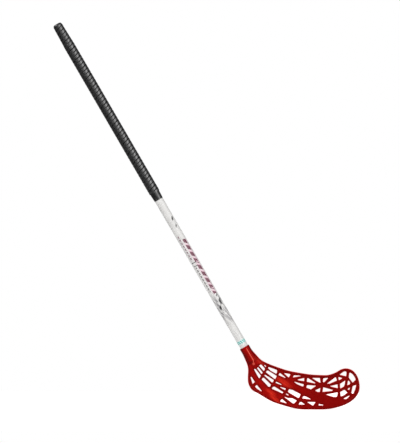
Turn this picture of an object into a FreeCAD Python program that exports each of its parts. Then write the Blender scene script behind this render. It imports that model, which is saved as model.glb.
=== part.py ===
import FreeCAD, Part
import os
from math import cos, pi, radians, sin

import Sketcher
from FreeCAD import Placement, Rotation, Vector

# A floorball stick in its playing pose, in millimetres and degrees.
# X runs from heel to toe, Z is up, Y points away from the forehand side of the blade.
# The origin is on the axis of the shaft, at the middle of the grip.

# Driving dimensions: alias, value, what it measures.
SIZES = [
    ("lie_angle", 59.85, "shaft above the floor"),
    ("tube_length", 949, "whole tube of the shaft"),
    ("butt_od", 21.6, "outside of the tube under the grip"),
    ("tip_od", 20.8, "outside of the tube in the blade"),
    ("tube_wall", 1.6, "wall of the tube"),
    ("taper_start", 520, "butt to the start of the taper"),
    ("tip_straight", 110, "straight end of the tube above its foot"),
    ("seat_depth", 40, "tube inside the socket of the blade"),
    ("tape_length", 472, "wound stretch of the grip"),
    ("tape_thickness", 1.6, "tape with its ribs"),
    ("tape_rib_height", 0.7, "ribs above the ground of the tape"),
    ("tape_rib_count", 3, "ribs across the tape"),
    ("tape_lead", 26.1, "rise of the winding in one turn"),
    ("seam_gap", 0.6, "open seam between two turns"),
    ("film_thickness", 0.2, "adhesive under the tape"),
    ("tape_clearance", 0.1, "tape to adhesive, on the radius"),
    ("band_length", 20, "smooth band below the winding"),
    ("band_upper_od", 24.8, "band where it meets the tape"),
    ("band_lower_od", 22.8, "band at its lower edge"),
    ("flange_od", 22.2, "flange of the butt plug"),
    ("flange_height", 5, "flange above the end of the tube"),
    ("flange_round", 4.4, "rounding of the flange"),
    ("stem_length", 28, "plug inside the tube"),
    ("stem_clearance", 0.1, "plug to bore, on the radius"),
    ("stem_wall", 2.4, "wall of the hollow plug"),
    ("groove_width", 3.5, "grooves round the plug"),
    ("groove_depth", 0.8, "depth of those grooves"),
    ("groove_pitch", 7, "one groove to the next"),
    ("groove_count", 3, "number of grooves"),
    ("label_width", 11.5, "coloured ring along the shaft"),
    ("label_rise", 9.5, "ring above the mouth of the socket"),
    ("label_thickness", 0.15, "film of the ring"),
    ("glue_gap", 0.2, "glue between tube and socket"),
    ("neck_wall", 1.4, "wall of the socket"),
    ("neck_end", 9, "socket beyond the foot of the tube"),
    ("neck_round", 8, "rounding of the closed end of the socket"),
    ("throat_depth", 54, "mouth of the socket to the lattice"),
    ("socket_rise", 52, "mouth of the socket above the top of the toe"),
    ("socket_back", 9.5, "mouth of the socket behind the heel"),
    ("blade_length", 271, "heel to toe"),
    ("blade_height", 100, "sole to the top of the toe"),
    ("hook_start", 60, "heel to the start of the hook"),
    ("hook_depth", 22, "toe in front of the heel"),
    ("rim_thickness", 6.6, "bead along the edge of the blade"),
    ("rim_bead", 4.2, "width of that bead"),
    ("rim_width", 5.8, "least width of the edge outside a window"),
    ("web_thickness", 3.6, "ribs and bands inside the bead"),
    ("window_corner", 0.8, "rounding in the corners of a window"),
    ("window_margin", 0.35, "moulding left inside the drawn edge of a window"),
    ("screw_drop", 20, "mouth of the socket to the screw"),
    ("screw_diameter", 3.2, "shank of the screw"),
    ("screw_length", 8, "screw under its head"),
    ("screw_point", 2.4, "tapered tip of the screw"),
    ("head_diameter", 6.4, "head of the screw"),
    ("head_height", 2.2, "head above its seat"),
    ("head_round", 1.1, "rounding of the head"),
    ("recess_span", 3.8, "cross recess from end to end"),
    ("recess_width", 1.1, "slot of the cross recess"),
    ("recess_depth", 1.2, "depth of the cross recess"),
    ("pad_diameter", 9.5, "raised seat under the screw head"),
    ("pad_rise", 0.7, "seat above the wall of the socket"),
]

# The blade is drawn on a grid: units from heel to toe, and from the sole to the top of the toe.
GRID_LENGTH = 271
GRID_HEIGHT = 100

# Edge of the neck below the mouth: depth along the shaft, and flare beyond the wall of the socket.
TOP_FLARE = [(17, 0.4), (30, 3.2)]
HEEL_FLARE = [(17, 0.2), (30, 1.8)]

# Edge of the blade on the grid, from the throat along the top, round the toe and back to the heel.
EDGE = [
    (30.3, 121.5), (45, 113.3), (60, 106.9), (80, 99.7), (100, 93.7), (120, 89.8), (140, 86.5),
    (160, 84.3), (180, 83.5), (195, 83.9), (205, 86.6), (215, 90.9), (224, 96.4), (235, 100), (250, 97.7),
    (263, 85.9), (270, 67.3), (270.3, 47.4), (260, 28.8), (240, 14.3), (220, 6.6), (200, 2.1), (175, 0),
    (150, 0), (130, 0.5), (110, 3.5), (80, 11.7), (60, 18.6), (40.4, 29.2), (19.6, 41.5), (10, 47.3),
    (4.2, 54.8), (0, 66), (-0.6, 80.3), (0.2, 92), (-1.6, 107),
]

# Corners of the windows on the grid.
WINDOWS = [
    # fan below the throat
    [(13.5, 98.5), (17.5, 99), (31, 82.5), (27.5, 75.5), (25.5, 76.5)],
    [(21, 101), (24, 103.5), (35.5, 90), (33.5, 86.3), (31.5, 86.7)],
    [(26, 107), (30, 109.5), (32.5, 109), (41, 99.5), (40, 95.5), (37.5, 93.7)],
    [(37.5, 109), (41.5, 108.5), (44, 104.5), (42, 103)],
    # heel
    [(5, 79), (8, 80), (16.5, 66.5), (11.5, 61.5), (9.5, 63)],
    [(15.5, 55.5), (20, 60), (22, 59), (35, 43.5), (31, 43.5), (21.5, 49.5)],
    # second row of the fan
    [(32.5, 73), (36, 77.5), (38.5, 77), (56, 60), (52.5, 54.5), (49.5, 54.8)],
    [(38.5, 83), (41.5, 84.5), (63, 71.5), (60, 65.5), (57, 66)],
    [(42.5, 91), (46.5, 95), (49, 94.5), (70, 81.5), (66, 73.5), (63.5, 74.5)],
    [(47.5, 101.5), (50.5, 103.5), (71, 96), (70, 87.7), (67, 87.2), (53.5, 95)],
    # slots between the two bands
    [(57, 50.5), (60.5, 55), (64, 55.5), (87, 42), (84, 38.5), (80, 39.5)],
    [(71, 57.2), (92.8, 51.4), (91.2, 47.2), (89, 46.5)],
    [(65.5, 65), (69, 67.5), (83, 60.5), (80.5, 59)],
    # triangles along the top
    [(73.7, 83.5), (76.5, 89.3), (78.5, 89), (92.5, 77.5), (90, 76)],
    [(86, 88.5), (90, 89), (103.8, 86.5), (102, 81), (99.5, 77.7), (97.5, 78)],
    [(108.3, 77), (111, 83.7), (122, 83.4), (131.5, 82), (131, 80.8), (119, 79)],
    [(117.5, 72.7), (137.5, 77.5), (137.3, 68.3), (124, 70)],
    [(110.8, 67), (113.5, 68), (136.5, 61.5), (135.5, 56), (132, 55.5), (119, 61)],
    [(142.3, 67), (143.8, 77), (146.5, 77), (165.5, 64.5), (163, 62.8)],
    [(153.5, 77.5), (175.5, 77.5), (177.3, 64.3), (174.5, 64.8), (165, 70)],
    [(141, 53), (143.5, 60), (168, 58.5), (153, 48)],
    [(162, 46.3), (177, 53.7), (175.5, 42), (169, 42)],
    # star in front of the toe
    [(181.8, 66), (182.5, 76.5), (197.5, 78.5), (186, 66)],
    [(190, 62.3), (212.5, 79.7), (214.5, 79), (217.3, 70.5), (199, 62.5)],
    [(197, 57), (218.5, 62.5), (219.3, 51.3), (203, 55)],
    [(180.8, 42), (182.5, 55), (209, 47.7), (204, 44.5)],
    [(186.5, 36.5), (219, 43), (218, 33), (215, 29.8), (208, 30)],
    # toe
    [(219, 79.3), (223, 79.7), (231.3, 76.8), (221, 70.3)],
    [(221.3, 85), (233, 93.5), (239, 94), (240.5, 90), (239.3, 80.5)],
    [(246, 90.5), (250, 90.5), (256.5, 86), (263.3, 73.5), (254.5, 65), (252, 68.5), (244.7, 78)],
    [(223.3, 63), (237.5, 72.5), (236, 61.5), (233.5, 55.5), (224, 50.5)],
    [(243, 71.5), (246, 71), (249.5, 65), (248, 61.5), (240.5, 58)],
    [(241, 50.5), (248, 55), (248.7, 54), (247.8, 49), (245, 47)],
    [(254, 57), (256.5, 59), (264.3, 61.8), (261, 48), (256.5, 38.5), (253, 38), (251, 41.5)],
    [(224, 43.5), (234, 49), (236, 48.5), (243, 41.5), (233, 34), (225, 31)],
    [(231, 27), (246, 35), (248.5, 33.5), (240, 25.3), (235, 25)],
    # row above the sole
    [(76.5, 18.5), (80, 24.5), (84, 25), (95, 15), (93, 13.8), (79, 16.5)],
    [(86.5, 30.5), (90, 31), (97, 28), (107.5, 28), (120, 21.5), (112, 13.5), (109, 13.5)],
    [(96, 43.5), (99.5, 49.8), (109, 48), (128.7, 37), (125, 28), (121.5, 27.3), (98, 41)],
    [(90.3, 37), (93.8, 39), (100.5, 34.2), (98, 32.8)],
    [(131, 26), (134, 32.5), (139, 32.7), (154, 25.5), (152, 23.8)],
    [(121.5, 11), (126.5, 18.5), (131, 18.3), (140.7, 10.8)],
    [(141, 19), (166, 18.5), (158.5, 8.3), (156, 9.3)],
    [(170, 9), (173.5, 15), (176, 13), (184.7, 12), (183, 9)],
]

# How closely arcs follow the drawn edge, and what counts as the same level.
ARC_TOLERANCE = 0.1
SAME_LEVEL = 0.001

# How finely the winding is sampled for its gap.
SAMPLES_PER_TURN = 360

# Share of a rib's pitch where its crest begins and ends.
RIB_CREST = (0.3, 0.7)

# Largest share of a wall that a rounding or a recess takes.
WALL_SHARE = 0.9

# Formulas that several pieces share, along the shaft from the middle of the grip.
TUBE_TOP = "(Sizes.tape_length + Sizes.band_length) / 2"
TUBE_FOOT = f"({TUBE_TOP} - Sizes.tube_length)"
MOUTH_LEVEL = f"({TUBE_FOOT} + Sizes.seat_depth)"
TAPE_FOOT = f"({TUBE_TOP} - Sizes.tape_length)"
BUTT_RADIUS = "Sizes.butt_od / 2"
TIP_RADIUS = "Sizes.tip_od / 2"
BUTT_BORE = f"({BUTT_RADIUS} - Sizes.tube_wall)"
TIP_BORE = f"({TIP_RADIUS} - Sizes.tube_wall)"
SOCKET_RADIUS = f"({TIP_RADIUS} + Sizes.glue_gap)"
NECK_RADIUS = f"({SOCKET_RADIUS} + Sizes.neck_wall)"
PAD_LEVEL = f"({NECK_RADIUS} + Sizes.pad_rise)"
SCREW_LEVEL = f"({MOUTH_LEVEL} - Sizes.screw_drop)"
SCREW_RADIUS = "Sizes.screw_diameter / 2"
FILM_RADIUS = f"({BUTT_RADIUS} + Sizes.film_thickness)"
TAPE_BED = f"({FILM_RADIUS} + Sizes.tape_clearance)"

# Height of the mouth of the socket above the sole.
MOUTH_RISE = "(Sizes.blade_height + Sizes.socket_rise)"

doc = FreeCAD.newDocument("FloorballStick")
sheet = doc.addObject("Spreadsheet::Sheet", "Sizes")
for row, (alias, number, meaning) in enumerate(SIZES, start=1):
    sheet.set(f"A{row}", meaning)
    sheet.set(f"B{row}", str(number))
    sheet.setAlias(f"B{row}", alias)
doc.recompute()


def size(alias):
    """Read one driving dimension from the sheet."""
    return float(getattr(sheet, alias))


def bind(item, **formulas):
    """Tie properties of a document object to sheet formulas."""
    for name, formula in formulas.items():
        item.setExpression(name, formula)


def place(item, across, deep, up):
    """Tie the place of a document object to sheet formulas."""
    bind(item, **{"Placement.Base.x": across, "Placement.Base.y": deep, "Placement.Base.z": up})


def origin_plane(body, role):
    return next(item for item in body.Origin.OriginFeatures if item.Role == role)


def attached_sketch(body, name, role):
    sketch = body.newObject("Sketcher::SketchObject", name)
    sketch.AttachmentSupport = [(origin_plane(body, role), "")]
    sketch.MapMode = "FlatFace"
    return sketch


def hold(sketch, name, constraint, formula):
    """Add a named constraint and tie it to a sheet formula."""
    sketch.renameConstraint(sketch.addConstraint(constraint), name)
    sketch.setExpression(f"Constraints.{name}", formula)


def polygon_sketch(body, name, role, corners):
    """A closed sketch of straight lines whose corners are pairs of sheet formulas."""
    sketch = attached_sketch(body, name, role)
    count = len(corners)
    turn = 2 * pi / count
    seeds = [Vector(cos(turn * index), sin(turn * index), 0) for index in range(count)]
    for index, seed in enumerate(seeds):
        sketch.addGeometry(Part.LineSegment(seed, seeds[(index + 1) % count]), False)
    for index in range(count):
        sketch.addConstraint(Sketcher.Constraint("Coincident", index, 2, (index + 1) % count, 1))
    for index, (across, along) in enumerate(corners):
        seed = seeds[index]
        hold(sketch, f"across_{index}", Sketcher.Constraint("DistanceX", -1, 1, index, 1, seed.x), across)
        hold(sketch, f"along_{index}", Sketcher.Constraint("DistanceY", -1, 1, index, 1, seed.y), along)
    return sketch


def circle_sketch(body, name, role, radius, along="0"):
    """A sketch of one circle on the second axis of its plane, with sheet formulas for its size and place."""
    sketch = attached_sketch(body, name, role)
    circle = sketch.addGeometry(Part.Circle(Vector(0, 1, 0), Vector(0, 0, 1), 1), False)
    sketch.addConstraint(Sketcher.Constraint("PointOnObject", circle, 3, -2))
    hold(sketch, "along", Sketcher.Constraint("DistanceY", -1, 1, circle, 3, 1), along)
    hold(sketch, "radius", Sketcher.Constraint("Radius", circle, 1), radius)
    return sketch


def turned_body(label, corners):
    """A body turned round the shaft axis from a profile of radius and level formulas."""
    body = doc.addObject("PartDesign::Body", label)
    turned = body.newObject("PartDesign::Revolution", f"{label}_turned")
    turned.Profile = polygon_sketch(body, f"{label}_profile", "XZ_Plane", corners)
    turned.ReferenceAxis = (turned.Profile[0], ["V_Axis"])
    doc.recompute()
    return body


def sleeve_body(label, inner, outer, foot, top):
    return turned_body(label, [(inner, foot), (outer, foot), (outer, top), (inner, top)])


def drill_for_screw(body):
    """Bore the far wall of a turned body where the blade screw passes."""
    before = body.Shape.Volume
    bore = body.newObject("PartDesign::Pocket", f"{body.Label}_screw_hole")
    bore.Profile = circle_sketch(body, f"{body.Label}_screw_circle", "XZ_Plane", SCREW_RADIUS, SCREW_LEVEL)
    bind(bore, Length=PAD_LEVEL)
    doc.recompute()
    if body.Shape.Volume >= before:
        raise RuntimeError(f"the screw hole misses {body.Label}")


def round_end_edge(body, name, end, *limits):
    """Fillet the outer edge of a round body at the end that max or min picks, as far as its walls allow."""
    doc.recompute()
    base = body.Tip
    circles = [
        (edge.Curve.Center.z, edge.Curve.Radius, f"Edge{number}")
        for number, edge in enumerate(body.Shape.Edges, start=1)
        if isinstance(edge.Curve, Part.Circle)
    ]
    level = end(circles)[0]
    outermost = max((radius, edge) for z, radius, edge in circles if abs(z - level) < SAME_LEVEL)
    fillet = body.newObject("PartDesign::Fillet", name)
    fillet.Base = (base, [outermost[1]])
    walls = "; ".join(f"{WALL_SHARE} * {limit}" for limit in limits)
    bind(fillet, Radius=f"min(Sizes.{name}; {walls})")
    doc.recompute()


# Shaft


def make_shaft_tube():
    shoulder = f"({TUBE_TOP} - Sizes.taper_start)"
    straight = f"({TUBE_FOOT} + Sizes.tip_straight)"
    tube = turned_body("shaft_tube", [
        (BUTT_RADIUS, TUBE_TOP), (BUTT_RADIUS, shoulder), (TIP_RADIUS, straight), (TIP_RADIUS, TUBE_FOOT),
        (TIP_BORE, TUBE_FOOT), (TIP_BORE, straight), (BUTT_BORE, shoulder), (BUTT_BORE, TUBE_TOP),
    ])
    drill_for_screw(tube)
    return tube


def make_butt_plug():
    stem = f"({BUTT_BORE} - Sizes.stem_clearance)"
    hollow = f"({stem} - Sizes.stem_wall)"
    stem_foot = f"({TUBE_TOP} - Sizes.stem_length)"
    crown = f"({TUBE_TOP} + Sizes.flange_height)"
    plug = turned_body("butt_plug", [
        ("0", crown), ("Sizes.flange_od / 2", crown), ("Sizes.flange_od / 2", TUBE_TOP), (stem, TUBE_TOP),
        (stem, stem_foot), (hollow, stem_foot), (hollow, TUBE_TOP), ("0", TUBE_TOP),
    ])
    round_end_edge(plug, "flange_round", max, "Sizes.flange_height", "Sizes.flange_od / 2")
    lowest = f"({stem_foot} + Sizes.groove_width)"
    ground = f"({stem} - Sizes.groove_depth)"
    groove = plug.newObject("PartDesign::Groove", "stem_groove")
    groove.Profile = polygon_sketch(plug, "stem_groove_profile", "XZ_Plane", [
        (ground, lowest), (BUTT_RADIUS, lowest),
        (BUTT_RADIUS, f"({lowest} + Sizes.groove_width)"), (ground, f"({lowest} + Sizes.groove_width)"),
    ])
    groove.ReferenceAxis = (groove.Profile[0], ["V_Axis"])
    doc.recompute()
    count = int(size("groove_count"))
    pattern = plug.newObject("PartDesign::LinearPattern", "stem_grooves")
    pattern.Originals = [groove]
    pattern.Direction = (groove.Profile[0], ["V_Axis"])
    pattern.Occurrences = count
    bind(pattern, Length=f"Sizes.groove_pitch * {count - 1}")
    plug.Tip = pattern
    return plug


def make_grip_tape():
    """One ribbed strip wound up the handle, trimmed square at both ends of the grip."""
    strip_foot = f"({TAPE_FOOT} - Sizes.tape_lead)"
    strip_width = "(Sizes.tape_lead - Sizes.seam_gap)"
    crest = f"({TAPE_BED} + Sizes.tape_thickness)"
    ground = f"({crest} - Sizes.tape_rib_height)"
    count = int(size("tape_rib_count"))
    corners = [(TAPE_BED, strip_foot)]
    for rib in range(count):
        for share, radius in ((0, ground), (RIB_CREST[0], crest), (RIB_CREST[1], crest)):
            corners.append((radius, f"{strip_foot} + {strip_width} * {rib + share} / {count}"))
    corners.append((ground, f"{strip_foot} + {strip_width}"))
    corners.append((TAPE_BED, f"{strip_foot} + {strip_width}"))
    winding = doc.addObject("PartDesign::Body", "tape_winding")
    helix = winding.newObject("PartDesign::AdditiveHelix", "tape_helix")
    helix.Profile = polygon_sketch(winding, "tape_section", "XZ_Plane", corners)
    helix.ReferenceAxis = (helix.Profile[0], ["V_Axis"])
    helix.Mode = "pitch-height-angle"
    bind(helix, Pitch="Sizes.tape_lead", Height="Sizes.tape_length + 2 * Sizes.tape_lead")
    handle = doc.addObject("Part::Cylinder", "grip_stretch")
    bind(handle, Radius=f"2 * {crest}", Height="Sizes.tape_length")
    place(handle, "0", "0", TAPE_FOOT)
    tape = doc.addObject("Part::Common", "grip_tape")
    tape.Base = winding
    tape.Tool = handle
    doc.recompute()
    return tape


def tape_gap():
    """Least gap between two turns of the tape, measured between points along its two edges."""
    radius = size("butt_od") / 2 + size("film_thickness") + size("tape_clearance")
    lead = size("tape_lead")
    upper_edge = lead - size("seam_gap")
    steps = range(-SAMPLES_PER_TURN, SAMPLES_PER_TURN + 1)
    angles = [2 * pi * step / SAMPLES_PER_TURN for step in steps]
    start = Vector(radius, 0, upper_edge)
    turns = [Vector(radius * cos(a), radius * sin(a), lead * (1 + a / (2 * pi))) for a in angles]
    return min(start.distanceToPoint(point) for point in turns)


# Blade

LIE = radians(size("lie_angle"))
DOWN_SHAFT = Vector(cos(LIE), 0, -sin(LIE))
ACROSS_SHAFT = Vector(sin(LIE), 0, cos(LIE))
SHAFT_TURN = Rotation(Vector(0, 1, 0), size("lie_angle") - 90)
MOUTH = Vector(-size("socket_back"), 0, size("blade_height") + size("socket_rise"))
HEEL_EDGE = -1
TOP_EDGE = 1


def grid_point(along, up):
    return Vector(along * size("blade_length") / GRID_LENGTH, 0, up * size("blade_height") / GRID_HEIGHT)


def neck_point(depth, edge, flare):
    """A point on the edge of the neck, from its depth below the mouth of the socket."""
    radius = size("tip_od") / 2 + size("glue_gap") + size("neck_wall")
    return MOUTH + DOWN_SHAFT * depth + ACROSS_SHAFT * (edge * (radius + flare))


def blade_edge_face():
    """The side view of the whole blade, its smooth edge drawn as tangent arcs."""
    points = [neck_point(0, TOP_EDGE, 0)]
    points += [neck_point(depth, TOP_EDGE, flare) for depth, flare in TOP_FLARE]
    points += [grid_point(along, up) for along, up in EDGE]
    points += [neck_point(depth, HEEL_EDGE, flare) for depth, flare in reversed(HEEL_FLARE)]
    points.append(neck_point(0, HEEL_EDGE, 0))
    curve = Part.BSplineCurve()
    curve.interpolate(points)
    arcs = [arc.toShape() for arc in curve.toBiArcs(ARC_TOLERANCE)]
    return Part.Face(Part.Wire(arcs + [Part.makeLine(points[-1], points[0])]))


def below_throat(face):
    """The part of a face that lies beyond the throat of the neck."""
    reach = 2 * (size("blade_length") + MOUTH.z)
    throat = MOUTH + DOWN_SHAFT * size("throat_depth")
    corners = [throat - ACROSS_SHAFT * reach, throat + ACROSS_SHAFT * reach]
    corners += [corners[1] + DOWN_SHAFT * reach, corners[0] + DOWN_SHAFT * reach]
    return face.common(Part.Face(Part.makePolygon(corners + corners[:1])))


def window_faces(edge_face):
    """The openings of the lattice, kept off the edge of the blade, with rounded corners."""
    inside = edge_face.makeOffset2D(-size("rim_width"))
    corner = size("window_corner")
    inset = corner + size("window_margin")
    faces = []
    for corners in WINDOWS:
        points = [grid_point(along, up) for along, up in corners]
        window = Part.Face(Part.makePolygon(points + points[:1])).common(inside)
        for face in window.Faces:
            faces += face.makeOffset2D(-inset).makeOffset2D(corner).Faces
    return Part.makeCompound(faces)


def prism(label, face):
    """A face of the side view, carried through the whole depth of the hooked blade."""
    base = doc.addObject("Part::Feature", f"{label}_face")
    base.Shape = face
    solid = doc.addObject("Part::Extrusion", f"{label}_prism")
    solid.Base = base
    solid.DirMode = "Custom"
    solid.Dir = Vector(0, 1, 0)
    solid.Solid = True
    solid.Symmetric = True
    bind(solid, LengthFwd="4 * (Sizes.hook_depth + Sizes.rim_thickness)")
    return solid


def boolean(kind, label, base, tool):
    item = doc.addObject(kind, label)
    item.Base = base
    item.Tool = tool
    return item


def hooked_slab(label, thickness):
    """A slab that is straight at the heel and bends towards the forehand side along one arc."""
    reach = "(Sizes.blade_length - Sizes.hook_start)"
    bend = f"(({reach} ^ 2 + Sizes.hook_depth ^ 2) / (2 * Sizes.hook_depth))"
    sector = f"(2 * asin({reach} / {bend}))"
    height = f"2 * {MOUTH_RISE}"
    foot = f"-{MOUTH_RISE} / 2"
    straight = doc.addObject("Part::Box", f"{label}_straight")
    bind(straight, Length="Sizes.blade_length + Sizes.hook_start", Width=thickness, Height=height)
    place(straight, "-Sizes.blade_length", f"-{thickness} / 2", foot)
    walls = []
    for name, offset in (("outer", "+"), ("inner", "-")):
        wall = doc.addObject("Part::Cylinder", f"{label}_{name}")
        bind(wall, Radius=f"{bend} {offset} {thickness} / 2", Height=height, Angle=sector)
        place(wall, "Sizes.hook_start", f"-{bend}", foot)
        bind(wall, **{"Placement.Rotation.Angle": f"90 deg - {sector}"})
        walls.append(wall)
    curved = boolean("Part::Cut", f"{label}_curved", *walls)
    return boolean("Part::Fuse", f"{label}_slab", straight, curved)


def make_neck():
    """The round socket of the blade before it is bored, along the shaft axis with its mouth at zero."""
    neck = doc.addObject("PartDesign::Body", "neck")
    pad = neck.newObject("PartDesign::Pad", "neck_pad")
    pad.Profile = circle_sketch(neck, "neck_circle", "XY_Plane", NECK_RADIUS)
    pad.Reversed = True
    bind(pad, Length="Sizes.seat_depth + Sizes.neck_end")
    round_end_edge(neck, "neck_round", min, "Sizes.neck_end", NECK_RADIUS)
    neck.Placement = Placement(MOUTH, SHAFT_TURN)
    return neck


def shaft_cylinder(label, radius, length, turn, depth):
    """A round tool in blade coordinates that starts on the shaft axis at a depth below the mouth."""
    tool = doc.addObject("Part::Cylinder", label)
    bind(tool, Radius=radius, Height=length)
    tool.Placement = Placement(MOUTH + DOWN_SHAFT * depth, turn)
    return tool


def make_blade():
    edge_face = blade_edge_face()
    field_face = below_throat(edge_face.makeOffset2D(-size("rim_bead")))
    rim_slab = hooked_slab("rim", "Sizes.rim_thickness")
    web_slab = hooked_slab("web", "Sizes.web_thickness")
    plate = boolean("Part::Common", "rim_plate", rim_slab, prism("edge", edge_face))
    relief = boolean("Part::Cut", "field_relief", prism("field", field_face), web_slab)
    web = boolean("Part::Cut", "web_plate", plate, relief)
    lattice = boolean("Part::Cut", "lattice", web, prism("windows", window_faces(edge_face)))
    to_back = Rotation(Vector(1, 0, 0), -90)
    screw_seat = shaft_cylinder("screw_seat", "Sizes.pad_diameter / 2", PAD_LEVEL, to_back, size("screw_drop"))
    body = doc.addObject("Part::MultiFuse", "blade_body")
    body.Shapes = [lattice, make_neck(), screw_seat]
    down = SHAFT_TURN.multiply(Rotation(Vector(1, 0, 0), 180))
    socket = shaft_cylinder("socket_bore", SOCKET_RADIUS, "Sizes.seat_depth", down, 0)
    hole = shaft_cylinder("screw_hole", SCREW_RADIUS, f"2 * {PAD_LEVEL}", to_back, size("screw_drop"))
    blade = boolean("Part::Cut", "blade", body, boolean("Part::Fuse", "socket_and_hole", socket, hole))
    doc.recompute()
    return blade


def make_blade_screw():
    """Pan-head screw along its own Z axis, from the shaft axis outwards to the head."""
    tip = f"({PAD_LEVEL} - Sizes.screw_length)"
    crown = f"({PAD_LEVEL} + Sizes.head_height)"
    head_radius = "Sizes.head_diameter / 2"
    screw = turned_body("blade_screw", [
        ("0", tip), (SCREW_RADIUS, f"{tip} + Sizes.screw_point"), (SCREW_RADIUS, PAD_LEVEL),
        (head_radius, PAD_LEVEL), (head_radius, crown), ("0", crown),
    ])
    round_end_edge(screw, "head_round", max, "Sizes.head_height", head_radius)
    half = "Sizes.recess_width / 2"
    arm = "Sizes.recess_span / 2"
    cross = [
        (arm, half), (half, half), (half, arm), (f"-{half}", arm), (f"-{half}", half), (f"-{arm}", half),
        (f"-{arm}", f"-{half}"), (f"-{half}", f"-{half}"), (f"-{half}", f"-{arm}"), (half, f"-{arm}"),
        (half, f"-{half}"), (arm, f"-{half}"),
    ]
    sketch = polygon_sketch(screw, "recess_cross", "XY_Plane", cross)
    bind(sketch, **{"AttachmentOffset.Base.z": crown})
    before = screw.Shape.Volume
    recess = screw.newObject("PartDesign::Pocket", "recess")
    recess.Profile = sketch
    bind(recess, Length=f"min(Sizes.recess_depth; {WALL_SHARE} * Sizes.head_height)")
    doc.recompute()
    if screw.Shape.Volume >= before:
        raise RuntimeError("the recess misses the screw head")
    return screw


# Assembly

shaft_pieces = [
    make_shaft_tube(),
    make_butt_plug(),
    sleeve_body("grip_adhesive", BUTT_RADIUS, FILM_RADIUS, TAPE_FOOT, TUBE_TOP),
    make_grip_tape(),
    turned_body("grip_end_band", [
        (BUTT_RADIUS, f"{TAPE_FOOT} - Sizes.band_length"),
        ("Sizes.band_lower_od / 2", f"{TAPE_FOOT} - Sizes.band_length"),
        ("Sizes.band_upper_od / 2", TAPE_FOOT),
        (BUTT_RADIUS, TAPE_FOOT),
    ]),
    sleeve_body(
        "label_band", TIP_RADIUS, f"{TIP_RADIUS} + Sizes.label_thickness", f"{MOUTH_LEVEL} + Sizes.label_rise",
        f"{MOUTH_LEVEL} + Sizes.label_rise + Sizes.label_width",
    ),
]
socket_glue = sleeve_body("socket_glue", TIP_RADIUS, SOCKET_RADIUS, TUBE_FOOT, MOUTH_LEVEL)
drill_for_screw(socket_glue)
shaft_pieces.append(socket_glue)
for piece in shaft_pieces:
    piece.Placement = Placement(Vector(), SHAFT_TURN)

grip_middle = (size("tape_length") + size("band_length")) / 2
mouth_distance = size("tube_length") - size("seat_depth") - grip_middle
blade = make_blade()
blade.Placement = Placement(DOWN_SHAFT * mouth_distance - MOUTH, Rotation())
blade_screw = make_blade_screw()
screw_place = DOWN_SHAFT * (mouth_distance + size("screw_drop"))
blade_screw.Placement = Placement(screw_place, SHAFT_TURN.multiply(Rotation(Vector(1, 0, 0), -90)))
pieces = shaft_pieces + [blade, blade_screw]
doc.recompute()

for item in doc.Objects:
    if "Invalid" in item.State or "Error" in item.State:
        raise RuntimeError(f"{item.Label} failed: {item.State}")
for piece in pieces:
    if piece.Shape.isNull() or not piece.Shape.isValid():
        raise RuntimeError(f"{piece.Label} has no valid shape")

print(f"least gap between turns of the tape: {tape_gap():.2f} mm")
os.makedirs("parts", exist_ok=True)
for piece in pieces:
    piece.Shape.exportStep(f"parts/{piece.Label}.step")
    print(f"{piece.Label}: {len(piece.Shape.Solids)} solid, {piece.Shape.Volume / 1000:.2f} cm3")
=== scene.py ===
# %% [markdown]
# # A floorball stick
# A floorball stick is a lacquered composite tube with a wound foam grip at the top and a moulded,
# perforated plastic blade at the foot. The solids that were drawn for it are loaded first and stay
# where they are. Pieces that are soft, wound or rounded on the real stick are then rebuilt around
# them as finer meshes, because a drawing has sharp edges and a moulding has none.

# %% Load the solids
import math

import bmesh
import bpy
from mathutils import Matrix, Vector, kdtree, noise


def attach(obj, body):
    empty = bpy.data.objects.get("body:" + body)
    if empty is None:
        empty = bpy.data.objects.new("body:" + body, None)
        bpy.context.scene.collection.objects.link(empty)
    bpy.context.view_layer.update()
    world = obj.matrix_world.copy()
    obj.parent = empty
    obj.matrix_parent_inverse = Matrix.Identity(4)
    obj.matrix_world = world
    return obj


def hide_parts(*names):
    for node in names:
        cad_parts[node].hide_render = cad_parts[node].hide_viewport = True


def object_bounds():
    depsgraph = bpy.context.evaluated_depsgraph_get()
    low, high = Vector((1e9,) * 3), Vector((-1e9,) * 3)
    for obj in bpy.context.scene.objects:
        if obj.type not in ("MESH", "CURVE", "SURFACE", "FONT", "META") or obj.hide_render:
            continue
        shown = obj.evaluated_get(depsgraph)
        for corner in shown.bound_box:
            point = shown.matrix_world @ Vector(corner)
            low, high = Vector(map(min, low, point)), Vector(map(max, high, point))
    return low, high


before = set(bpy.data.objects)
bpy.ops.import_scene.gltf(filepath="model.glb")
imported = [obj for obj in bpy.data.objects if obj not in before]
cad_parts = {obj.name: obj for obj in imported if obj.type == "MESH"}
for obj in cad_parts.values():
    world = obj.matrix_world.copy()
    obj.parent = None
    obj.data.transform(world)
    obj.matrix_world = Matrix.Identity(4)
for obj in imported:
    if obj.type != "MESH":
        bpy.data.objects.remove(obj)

drawn_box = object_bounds()
print("solids:", ", ".join(sorted(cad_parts)))

# %% [markdown]
# ## Directions on the stick
# The shaft leans at the lie angle in the plane of the blade's face, so three directions are handy:
# up the shaft, out of its front towards the viewer, and out of its right-hand side. Every measure
# along the shaft is then a dot product, and is read from the solids, not typed in again.

# %% Directions and measures
MM = 0.001
LIE = math.radians(59.85)
UP = Vector((-math.cos(LIE), 0, math.sin(LIE)))
FRONT = Vector((0, -1, 0))
RIGHT = UP.cross(FRONT)


def reach(name):
    """Lowest and highest place of a solid along the shaft, and its least and greatest radius."""
    points = [v.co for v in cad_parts[name].data.vertices]
    heights = [p.dot(UP) for p in points]
    radii = [(p - UP * p.dot(UP)).length for p in points]
    return min(heights), max(heights), min(radii), max(radii)


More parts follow.
